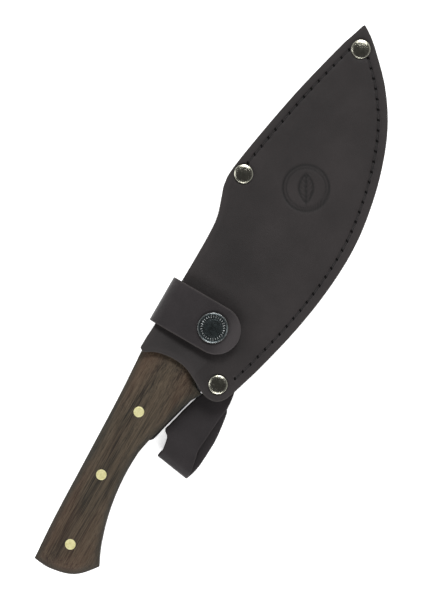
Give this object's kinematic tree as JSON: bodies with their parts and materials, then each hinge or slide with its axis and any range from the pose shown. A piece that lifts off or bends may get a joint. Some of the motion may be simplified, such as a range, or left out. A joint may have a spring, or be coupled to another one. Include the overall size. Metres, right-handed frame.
{
  "type": "sheathed camp knife",
  "caption": "Broad-bellied full-tang knife in an open-spined leather sheath, with riveted and stitched edges, a snap keeper strap and a belt loop.",
  "frame": {"origin": "centre of the whole object in plan, on the surface that it lies on", "axes": "+X from pommel to sheath tip along the line the knife is drawn on, +Y to the spine side, +Z out of the sheath's front face"},
  "size_m": [0.3694, 0.109, 0.0265],
  "materials": {
    "steel": "satin",
    "walnut": "oiled, open grain",
    "brass": "sanded flush",
    "leather": "smooth top grain, semi-matt",
    "strap_leather": "smooth top grain, semi-matt",
    "nickel": "polished, slightly worn",
    "gunmetal": "blackened, polished rim",
    "thread": "waxed cord"
  },
  "bodies": {
    "sheath": {"front_panel": "leather", "back_panel": "leather", "belly_welt": "leather", "spine_welt": "leather", "throat_rivet_cap": "nickel", "throat_rivet_post": "nickel", "spine_rivet_cap": "nickel", "spine_rivet_post": "nickel", "tip_rivet_cap": "nickel", "tip_rivet_post": "nickel", "loop_rivet_cap": "nickel", "loop_rivet_post": "nickel", "belly_seam_front_thread": "thread", "belly_seam_back_thread": "thread", "spine_seam_front_thread": "thread", "spine_seam_back_thread": "thread", "strap_bend": "strap_leather", "strap_tail": "strap_leather", "strap_rivet_cap": "nickel", "strap_rivet_post": "nickel", "snap_stud": "gunmetal", "snap_stud_post": "gunmetal", "belt_loop": "strap_leather"},
    "knife": {"blade": "steel", "front_scale": "walnut", "back_scale": "walnut", "handle_pin_front": "brass", "handle_pin_middle": "brass", "handle_pin_rear": "brass"},
    "strap_flap": {"strap_flap": "strap_leather", "snap_cap": "gunmetal", "snap_socket": "gunmetal"}
  },
  "joints": [
    {"name": "knife_draw", "type": "slide", "parent": "sheath", "child": "knife", "axis": [-1, 0, 0], "range_m": [0, 0.25]},
    {"name": "strap_open", "type": "hinge", "parent": "sheath", "child": "strap_flap", "pos_m": [-0.01703, 0.02541, 0.0115], "axis": [-0.977, -0.213, 0], "range_deg": [0, 120], "deforming": ["strap_bend"]}
  ]
}
